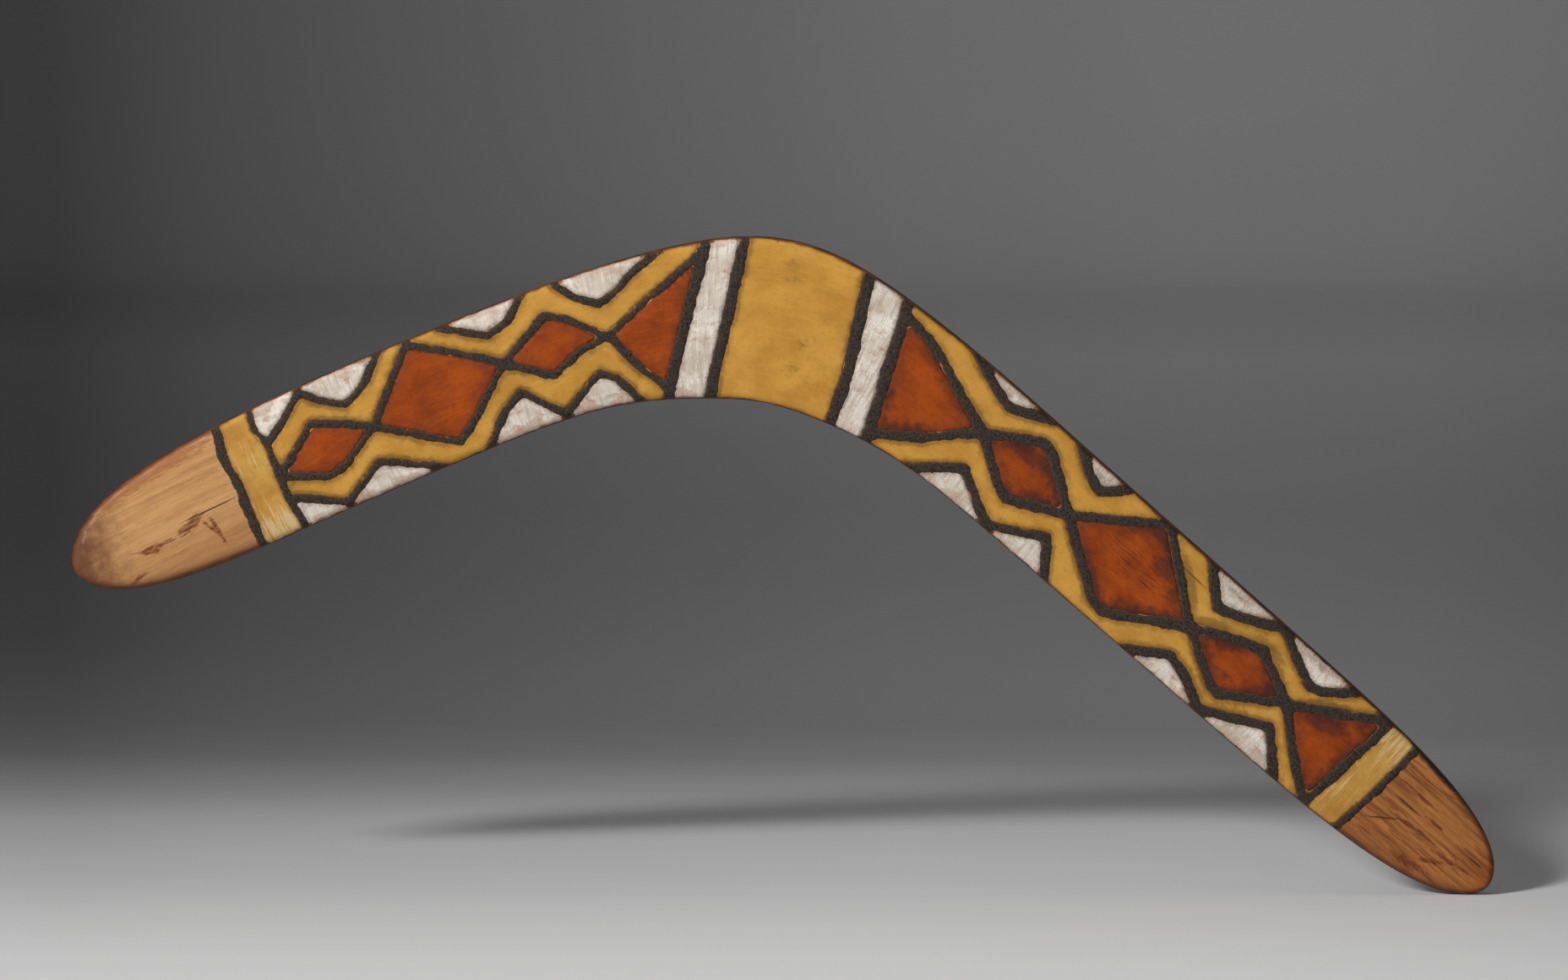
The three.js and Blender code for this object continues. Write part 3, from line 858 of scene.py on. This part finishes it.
def handled_wood(f, tone, right, patches, warp):
    """The left tip's lower side is browner, both ends are dark from handling, and the rim along
    the lower edge carries painted shade.
    """
    station, out, _ = f.add("ShaderNodeSeparateXYZ", (f.grain,)).outputs
    low_side = f.step(f.plus(out, f.times(patches, 12.0)), 4.0, -16.0)
    low_side = f.times(low_side, f.step(right, 1.0, 0.0))
    tone = f.over(tone, low_side, 0.55, LOW_SIDE_BROWN)
    uneven = f.swing(patches, 18.0)
    tip_cloud = f.swing(f.cloud(f.grain, 0.16, 4.0, 0.6), 26.0)
    left_end = f.plus(f.plus(station, f.times(out, -0.25)), tip_cloud)
    tone = f.over(tone, f.step(left_end, 30.0, 3.0), 0.88, HANDLED_BROWN)
    # Painted shade: the rim along the blade's lower edge, turned away from the light, is painted
    # darker.
    lower_rim_shade = f.step(f.plus(f.fact("inwards"), f.times(uneven, 0.2)), 5.0, 0.8)
    lower_rim_shade = f.times(lower_rim_shade, f.step(out, 4.0, -6.0))
    tone = f.over(tone, lower_rim_shade, 0.6, LOWER_RIM_PAINTED_SHADE)
    tone = f.over(tone, f.mark(*ORANGE_STRIP), 0.7, ORANGE_BROWN)
    speckle = f.step(f.cloud(f.along(3.0, 1.3, 5.0), 1.0, 3.0, 0.6), 0.6, 0.75)
    tone = f.over(tone, speckle, 0.45, SPECKLE_BROWN)
    right_end = f.step(f.plus(station, uneven), 626.0, 641.0)
    tone = f.over(tone, right_end, 0.55, RIGHT_END_ORANGE)
    red_lines = f.cloud(f.vector("ADD", f.along(24, 1.6, 11.0), warp), 1.0, 5.0, 0.65)
    red_lines = f.times(f.step(red_lines, 0.5, 0.62), f.step(station, 560.0, 590.0))
    return f.over(tone, red_lines, 0.6, RED_STREAK)


def bare_wood():
    """The scraped wood of the tips, the rounded edge and the back."""
    f = Finish("scraped_wood", WOOD_GLOSS)
    station = f.add("ShaderNodeSeparateXYZ", (f.grain,)).outputs[0]
    right = f.step(station, *WOOD_CHANGE)
    waves = f.add("ShaderNodeTexNoise", {"Vector": f.along(60, 18)}).outputs[1]
    warp = f.vector("SCALE", waves, scale=0.9)
    tone, lines, fibres, pores, patches = wood_grain(f, right, warp)
    tone = handled_wood(f, tone, right, patches, warp)

    # Rounded edge: rubbed red-brown, darker towards the very edge
    to_edge = f.plus(f.fact("inwards"), f.swing(f.cloud(f.along(9, 3), 1.0, 3.0), 2.4))
    tone = f.over(tone, f.step(to_edge, 2.4, 0.7), 0.8, RUBBED_EDGE)
    tone = f.over(tone, f.step(to_edge, 1.0, -0.2), 0.8, VERY_EDGE)

    patchy = f.step(f.cloud(f.along(5, 0.9, 2.0), 1.0, 4.0, 0.6), 0.3, 0.6, 0.35, 0.95)
    tone = f.over(tone, f.marks(STAINS), patchy, STAIN_RED)
    tone = f.over(tone, f.marks(SCUFFS), 0.2, SCUFF_PALE)
    cracks = f.marks(CRACKS)
    tone = f.over(tone, cracks, 0.85, CRACK_DARK)
    # Painted shade: a near-black strip along the right tip's upper edge, which is turned away
    # from the light.
    tone = f.over(tone, f.mark(*RIGHT_TIP_EDGE_SHADE_PLACE), 0.9, RIGHT_TIP_EDGE_SHADE)

    relief = f.minus(f.times(fibres, 0.5), f.times(pores, 0.7))
    relief = f.plus(relief, f.times(lines, 0.8))
    relief = f.minus(relief, f.times(cracks, 2.2))
    roughness = f.step(f.cloud(f.along(14, 4, 2.0), 1.0, 3.0), 0.3, 0.7, 0.42, 0.62)
    return f.finish(tone, relief, 0.09, roughness)


def line_haze(f, reach, share):
    """Black dragged out of the lines: a fuzzy fringe everywhere, a wider cloud in places."""
    line = f.fact("line")
    fuzz = f.swing(f.cloud(f.grain, 0.9, 4.0, 0.65), 2.4)
    fringe = f.step(f.plus(line, fuzz), 1.5, 0.1)
    drag = f.swing(f.cloud(f.grain, 0.26, 4.0, 0.6), 1.8 * reach)
    places = f.step(f.cloud(f.grain, 0.045, 2.0), 0.38, 0.58, 0.4, 1.0)
    wide = f.times(f.step(f.plus(line, drag), reach, 0.0), places)
    wide = f.times(wide, share)
    return f.sum("MAXIMUM", wide, f.times(fringe, 0.6))


# Shades of the paints: light, mid and dark of each, and the smear of black over it
YELLOW = colour(203, 152, 68), colour(190, 139, 58), colour(172, 122, 46)
YELLOW_SMEAR = colour(104, 76, 34)
YELLOW_HALO = colour(122, 82, 38)
YELLOW_CRACK = colour(70, 48, 26)
RED = colour(163, 73, 15), colour(144, 61, 13), colour(120, 49, 12)
RED_SMEAR = colour(62, 34, 30)
RED_FIBRES = colour(178, 90, 34)
RED_SCRATCHES = colour(52, 30, 24)
WHITE = colour(234, 226, 214), colour(222, 212, 199), colour(198, 184, 167)
WHITE_SMEAR = colour(120, 100, 82)
WHITE_THIN = colour(196, 170, 150)
WHITE_BARE = colour(162, 120, 92)
WHITE_FURROWS = colour(176, 160, 142)
WHITE_DIRT = colour(158, 142, 122)
WHITE_RIM = colour(188, 156, 134)
PALE = colour(200, 156, 80), colour(184, 136, 62), colour(164, 114, 46)
PALE_SMEAR = colour(110, 80, 46)
PALE_CHALK = colour(212, 188, 146)
BLACK = colour(72, 63, 56), colour(62, 54, 46), colour(25, 22, 21)
BLACK_THIN = colour(84, 60, 40)
BLACK_WORN = colour(112, 86, 58)
BLACK_RIM_WEAR = colour(84, 54, 36)
BARE_RIM = colour(138, 82, 48)

YELLOW_CRACK_PLACE = (478.9, 15.0, 6.5, 0.3, -2, 0.15)
RED_SCRATCHES_PLACE = (458.5, 7.4, 17, 9, -11, 0.6)


def ochre_paint(name, tones, smear, brushed=(9, 1.3), even=0.3):
    """A matt earth paint: cloudy tone, fine mottle and brush lines."""
    light, mid, dark = tones
    f = Finish(name, PAINT_GLOSS)
    clouds = f.cloud(f.along(16, 12, 1.0), 1.0, 3.0, 0.55)
    mottle = f.cloud(f.grain, 0.5, 5.0, 0.7)
    brush = f.cloud(f.along(*brushed, 4.0), 1.0, 3.0, 0.55)
    specks = f.step(f.cloud(f.grain, 1.0, 3.0, 0.6), 0.62, 0.72)
    tone = f.mix(f.step(clouds, 0.3, 0.7), dark, light)
    tone = f.mix(even, tone, mid)
    tone = f.over(tone, f.step(mottle, 0.5, 0.68), 0.5, dark)
    tone = f.over(tone, f.step(brush, 0.52, 0.72), 0.4, light)
    tone = f.over(tone, specks, 0.3, smear)
    return f, tone, brush, mottle


def laid(f, tone, brush, mottle, smear, reach, share, depth=0.1, roughness=(0.62, 0.8)):
    """Smears, smudges and the worn rim over a paint, then its relief.

    The smears reach this far from the black lines, and cover up to this share."""
    tone = f.mix(line_haze(f, reach, share), tone, smear)
    smoke = f.fact("smoke")
    broken = f.step(f.plus(smoke, f.times(mottle, 0.9)), 0.62, 1.05)
    smudge = f.times(broken, f.step(smoke, 0.05, 0.5))
    tone = f.over(tone, smudge, 0.6, smear)
    wear = f.plus(f.fact("rim"), f.swing(f.cloud(f.along(7, 2.5, 9.0), 1.0, 4.0), 4.5))
    tone = f.over(tone, f.step(wear, 1.3, 0.2), 0.75, BARE_RIM)
    relief = f.plus(f.times(brush, 0.8), f.times(mottle, 0.5))
    relief = f.plus(relief, f.times(f.cloud(f.grain, 3.2, 2.0), 0.35))
    return f.finish(tone, relief, depth, f.step(mottle, 0.3, 0.7, *roughness))


def yellow_ochre():
    """Even and opaque, with one crack and a stained strip beside some black lines."""
    f, tone, brush, mottle = ochre_paint("yellow_ochre_paint", YELLOW, YELLOW_SMEAR)
    tone = f.over(tone, f.mark(*YELLOW_CRACK_PLACE), 0.8, YELLOW_CRACK)
    # In places the black has bled a little way into the yellow beside it.
    wobble = f.swing(f.cloud(f.grain, 0.6, 3.0), 1.6)
    halo = f.step(f.plus(f.fact("line"), wobble), 1.7, 1.1)
    halo = f.times(halo, f.step(f.cloud(f.grain, 0.03, 2.0), 0.46, 0.54))
    tone = f.over(tone, halo, 0.42, YELLOW_HALO)
    return laid(f, tone, brush, mottle, YELLOW_SMEAR, 2.8, 0.6)


def red_ochre():
    """Fibrous, scratched in the right arm's large diamond, and smeared by the black."""
    f, tone, brush, mottle = ochre_paint("red_ochre_paint", RED, RED_SMEAR, even=0.2)
    fibres = f.step(f.cloud(f.along(14, 0.35, 5.0), 1.0, 3.0), 0.56, 0.7)
    tone = f.over(tone, fibres, 0.28, RED_FIBRES)
    scratches = f.step(f.cloud(f.along(11, 0.32, 8.0), 1.0, 1.0), 0.57, 0.63)
    place = f.times(f.mark(*RED_SCRATCHES_PLACE), 0.8)
    tone = f.over(tone, scratches, place, RED_SCRATCHES)
    # The right arm's reds are smeared far more than the left arm's.
    station = f.add("ShaderNodeSeparateXYZ", (f.grain,)).outputs[0]
    share = f.times(f.step(station, 300.0, 350.0, 0.35, 1.0), 0.85)
    return laid(f, tone, brush, mottle, RED_SMEAR, 5.2, share)


def white_clay():
    """Thick, brushed across the blade, and worn through in small places."""
    name = "white_clay_paint"
    f, tone, brush, mottle = ochre_paint(name, WHITE, WHITE_SMEAR, brushed=(1.5, 14), even=0.1)
    worn = f.cloud(f.along(7, 5, 6.0), 1.0, 5.0, 0.65)
    tone = f.over(tone, f.step(worn, 0.56, 0.63), 0.7, WHITE_THIN)
    tone = f.over(tone, f.step(worn, 0.63, 0.68), 0.8, WHITE_BARE)
    tone = f.over(tone, f.step(brush, 0.47, 0.34), 0.5, WHITE_FURROWS)
    dirt = f.step(f.cloud(f.along(4, 3, 12.0), 1.0, 4.0, 0.65), 0.52, 0.7)
    tone = f.over(tone, dirt, 0.45, WHITE_DIRT)
    rim = f.plus(f.fact("rim"), f.swing(worn, -26.0))
    tone = f.over(tone, f.step(rim, 5.0, 1.5), 0.6, WHITE_RIM)
    rough = (0.7, 0.9)
    return laid(f, tone, brush, mottle, WHITE_SMEAR, 1.8, 0.5, depth=0.7, roughness=rough)


def pale_ochre():
    """Thin, brushed across the blade, and chalky at one end of each band."""
    name = "pale_ochre_paint"
    f, tone, brush, mottle = ochre_paint(name, PALE, PALE_SMEAR, brushed=(1.3, 16))
    station, out, _ = f.add("ShaderNodeSeparateXYZ", (f.grain,)).outputs
    left_end = f.times(f.step(station, 250.0, 200.0), f.step(out, -8.0, -20.0))
    right_end = f.times(f.step(station, 400.0, 450.0), f.step(out, 6.0, 20.0))
    ends = f.sum("MAXIMUM", left_end, right_end)
    chalk = f.step(f.plus(brush, f.times(ends, 0.2)), 0.58, 0.74)
    tone = f.over(tone, chalk, 0.6, PALE_CHALK)
    return laid(f, tone, brush, mottle, PALE_SMEAR, 1.6, 0.45, depth=0.25)


def charcoal_black():
    """Dry and grainy, thin along its edges and rubbed off at the blade's rim."""
    f = Finish("charcoal_black_paint", BLACK_GLOSS)
    light, mid, dark = BLACK
    grains = f.cloud(f.grain, 1.1, 4.0, 0.7)
    clouds = f.cloud(f.grain, 0.3, 3.0)
    tone = f.mix(f.step(grains, 0.35, 0.68), dark, light)
    tone = f.over(tone, f.step(clouds, 0.48, 0.7), 0.6, mid)
    thin = f.plus(f.fact("edge"), f.swing(f.cloud(f.grain, 0.9, 4.0, 0.7), 2.8))
    tone = f.over(tone, f.step(thin, 0.9, 0.0), 0.65, BLACK_THIN)
    worn = f.step(f.cloud(f.grain, 0.7, 5.0, 0.7), 0.62, 0.72)
    tone = f.over(tone, worn, 0.5, BLACK_WORN)
    wear = f.plus(f.fact("rim"), f.swing(f.cloud(f.along(6, 2.5, 9.0), 1.0, 4.0), 3.0))
    tone = f.over(tone, f.step(wear, 1.0, 0.1), 0.5, BLACK_RIM_WEAR)
    relief = f.plus(grains, f.times(f.cloud(f.grain, 4.0, 2.0), 0.5))
    return f.finish(tone, relief, 0.14, f.step(grains, 0.3, 0.7, 0.7, 0.9))


PAINTS = {
    "red": ("red_ochre", red_ochre()),
    "yellow": ("yellow_ochre", yellow_ochre()),
    "white": ("white_clay", white_clay()),
    "pale": ("pale_ochre", pale_ochre()),
    "black": ("charcoal_black", charcoal_black()),
}
# Waver of the outlines: length of each wave, and how far it goes to either side
BLACK_WAVES = ((11.0, 0.45), (3.6, 0.4), (1.3, 0.3))
FIELD_WAVES = ((4.0, 0.2), (1.2, 0.1))
BLACK_DRAWN_IN = -0.15

# How each kind of coat lies: height at its edge and in full, how wide its soft edge is, how
# lumpy it is, and how large the lumps are
BLACK_COAT = (0.1, 0.2, 1.0, 0.4, 1.6)
WHITE_COAT = (0.05, 0.17, 0.8, 0.8, 1.4)
OCHRE_COAT = (0.04, 0.12, 0.7, 0.5, 1.8)
COATS = {"black": BLACK_COAT, "white": WHITE_COAT}


def add_piece(piece, node):
    """Puts a finished piece in the place of its CAD node."""
    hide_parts(node)
    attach(piece, "root")


def brush_coats(blade):
    """Every coat of the CAD again, as it was brushed: the colours first, the black over them."""
    coats = [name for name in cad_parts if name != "blade"]
    drawn = {}
    for index, name in enumerate(sorted(coats)):
        black = name.startswith("black")
        grow, waves = (BLACK_DRAWN_IN, BLACK_WAVES) if black else (UNDER_LINES, FIELD_WAVES)
        loops = [loop for loop in cad_outlines(name) if len(loop) > 3]
        drawn[name] = [hand_drawn(loop, grow, waves, 10.0 * index) for loop in loops]
    lines = [loop for name in drawn if name.startswith("black") for loop in drawn[name]]
    line_tree = tree_of(np.vstack(lines))
    grid = brush_grid()
    tree = coat_tree()
    for name, loops in drawn.items():
        kind = name.split("_")[0]
        slot, paint = PAINTS[kind]
        edge_height, full_height, feather, relief, relief_size = COATS.get(kind, OCHRE_COAT)
        mesh = patch(name + "_patch", loops, grid, line_tree)
        piece = shaped(
            name + "_paint",
            mesh,
            tree,
            blade=blade,
            edge_height=edge_height,
            full_height=full_height,
            feather=feather,
            relief=relief,
            relief_size=relief_size,
            paint=paint,
        )
        add_piece(piece, name)


# ---------------------------------------------------------------- floor, lamps and camera

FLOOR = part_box("blade")[0].z
VIEW_AZIMUTH = 4.0
VIEW_ELEVATION = 5.0
VIEW_DISTANCE = 2.2
VIEW_WIDTH = 0.6035  # how much the picture takes in at the boomerang
VIEW_CENTRE = Vector((-0.0061, 0.0, -0.0016))
SENSOR_WIDTH = 36
CLIP_NEAR, CLIP_FAR = 0.05, 30

FLAT_FLOOR = 4.4  # how far out the floor lies flat before it bends up
BEND = 1.2
WALL_TOP = 4.5
NEAR_FLOOR, FAR_FLOOR = -1.0, 6.0  # what the floor's tones are spread over
FLOOR_ROUGHNESS = 0.9
FLOOR_GLOSS = 0.1

# Painted shade on the floor: how pale it is painted, by distance behind the boomerang in metres;
# darker behind it, lighter again far off
FLOOR_PAINTED_SHADE = (
    (-1.0, 0.8), (-0.17, 0.8), (-0.09, 0.76), (-0.02, 0.7),
    (0.07, 0.66), (0.16, 0.61), (0.26, 0.43), (0.37, 0.29),
    (0.48, 0.26), (0.7, 0.29), (1.2, 0.315), (1.63, 0.36),
    (2.2, 0.475), (3.2, 0.72), (4.5, 0.8), (5.6, 0.64),
)
# Behind the boomerang the painted shade is deeper at the left. The share is read on a line
# across, which
# fans out from a start in front: how far aside that start is, and how far to the front.
FAN_ASIDE, FAN_BACK = 0.15, 2.2
FAN_NARROWEST = 0.6
SIDES_FROM, SIDES_TO = -0.5, 0.5
SIDES_FADE_IN = -0.6, 0.9
FLOOR_SIDE_SHADE = (
    (-0.5, 0.2), (-0.2, 0.25), (-0.17, 0.41), (-0.13, 0.55), (-0.09, 0.69),
    (-0.05, 0.82), (0.0, 0.9), (0.04, 0.88), (0.07, 0.8), (0.5, 0.75),
)

# Softboxes: where each stands, how wide it is, and its watts
LAMPS = {
    "key_softbox": ((-1.95, -2.1, 1.75), 0.6, 104),
    "fill_softbox": ((1.7, -1.9, 0.9), 1.4, 5),
    "top_softbox": ((0.1, -0.2, 2.3), 0.9, 4),
}
AIR_LIGHT = 0.1


def grey_ramp(b, value, low, high, tones):
    """Greys in steps along a value that runs from low to high."""
    ramp = b.add("ShaderNodeValToRGB", (b.step_line(value, low, high),))
    stops = ramp.color_ramp.elements
    while len(stops) < len(tones):
        stops.new(0.5)
    for stop, (place, grey) in zip(stops, tones):
        stop.position = (place - low) / (high - low)
        stop.color = (grey, grey, grey, 1)
    return ramp.outputs[0]


def painted_floor_shade(b):
    """Painted shade on the floor: pale in front, darker behind the boomerang and towards the
    left.
    """
    place = b.add("ShaderNodeTexCoord").outputs["Object"]
    aside, back, _ = b.add("ShaderNodeSeparateXYZ", (place,)).outputs
    depth = b.plus(back, b.swing(b.cloud(place, 1.3, 2.0), 0.04))
    tone = grey_ramp(b, depth, NEAR_FLOOR, FAR_FLOOR, FLOOR_PAINTED_SHADE)
    from_start = b.sum("MAXIMUM", b.plus(back, FAN_BACK), FAN_NARROWEST)
    fan = b.sum("DIVIDE", b.minus(aside, FAN_ASIDE), from_start)
    sides = grey_ramp(b, fan, SIDES_FROM, SIDES_TO, FLOOR_SIDE_SHADE)
    sides = b.mix(b.step(depth, *SIDES_FADE_IN), (1, 1, 1, 1), sides)
    both = b.add("ShaderNodeMix", (1.0,), data_type="RGBA", blend_type="MULTIPLY")
    b.feed(both.inputs[6], tone)
    b.feed(both.inputs[7], sides)
    return both.outputs[2]


def backdrop():
    """A round floor that turns up into a far wall, pale in front and with painted shade behind
    the boomerang.
    """
    profile = [(r, 0.0) for r in np.linspace(0.0, FLAT_FLOOR, 12)]
    bend = np.linspace(0, math.pi / 2, 13)[1:]
    profile += [(FLAT_FLOOR + BEND * math.sin(a), BEND * (1 - math.cos(a))) for a in bend]
    profile += [(FLAT_FLOOR + BEND, WALL_TOP)]
    mesh = bpy.data.meshes.new("floor")
    floor = bpy.data.objects.new("floor", mesh)
    bm = bmesh.new()
    points = [bm.verts.new((r, 0, FLOOR + z)) for r, z in profile]
    edges = [bm.edges.new(pair) for pair in zip(points, points[1:])]
    bmesh.ops.spin(
        bm, geom=points + edges, axis=(0, 0, 1), cent=(0, 0, 0), steps=96, angle=2 * math.pi
    )
    bmesh.ops.remove_doubles(bm, verts=bm.verts, dist=1e-4)
    bmesh.ops.recalc_face_normals(bm, faces=bm.faces)
    bm.to_mesh(mesh)
    bm.free()
    mesh.shade_smooth()
    material = bpy.data.materials.new("studio_floor")
    material.use_nodes = True
    b = Bench(material.node_tree)
    shader = b.add("ShaderNodeBsdfPrincipled")
    shader.inputs["Roughness"].default_value = FLOOR_ROUGHNESS
    shader.inputs["Specular IOR Level"].default_value = FLOOR_GLOSS
    b.feed(shader.inputs["Base Color"], painted_floor_shade(b))
    out = b.add("ShaderNodeOutputMaterial")
    b.feed(out.inputs["Surface"], shader.outputs[0])
    mesh.materials.append(material)
    bpy.context.scene.collection.objects.link(floor)


def lamp(name, place, size, power):
    """A square softbox aimed at the boomerang."""
    light = bpy.data.lights.new(name, "AREA")
    light.size = size
    light.energy = power
    holder = bpy.data.objects.new(name, light)
    holder.location = place
    holder.rotation_euler = (-Vector(place)).to_track_quat("-Z", "Y").to_euler()
    holder.visible_camera = False
    bpy.context.scene.collection.objects.link(holder)


def air():
    """A little light from all round."""
    world = bpy.data.worlds.new("studio_air")
    bpy.context.scene.world = world
    world.use_nodes = True
    sockets = world.node_tree.nodes["Background"].inputs
    sockets["Color"].default_value = (1, 1, 1, 1)
    sockets["Strength"].default_value = AIR_LIGHT


def viewpoint():
    """The camera, nearly level and a little to the right, far off with a long lens."""
    camera = bpy.data.cameras.new("camera")
    holder = bpy.data.objects.new("camera", camera)
    a, e = math.radians(VIEW_AZIMUTH), math.radians(VIEW_ELEVATION)
    away = Vector((math.sin(a) * math.cos(e), -math.cos(a) * math.cos(e), math.sin(e)))
    holder.location = VIEW_CENTRE + away * VIEW_DISTANCE
    holder.rotation_euler = (-away).to_track_quat("-Z", "Y").to_euler()
    camera.sensor_width = SENSOR_WIDTH
    camera.lens = SENSOR_WIDTH * VIEW_DISTANCE / VIEW_WIDTH
    camera.clip_start, camera.clip_end = CLIP_NEAR, CLIP_FAR
    bpy.context.scene.collection.objects.link(holder)
    bpy.context.scene.camera = holder
    bpy.context.scene.view_settings.view_transform = "Standard"


backdrop()
for lamp_name, (stand, width, watts) in LAMPS.items():
    lamp(lamp_name, stand, width, watts)
air()
viewpoint()
blade = carve_blade(bare_wood())
add_piece(blade, "blade")
brush_coats(blade)
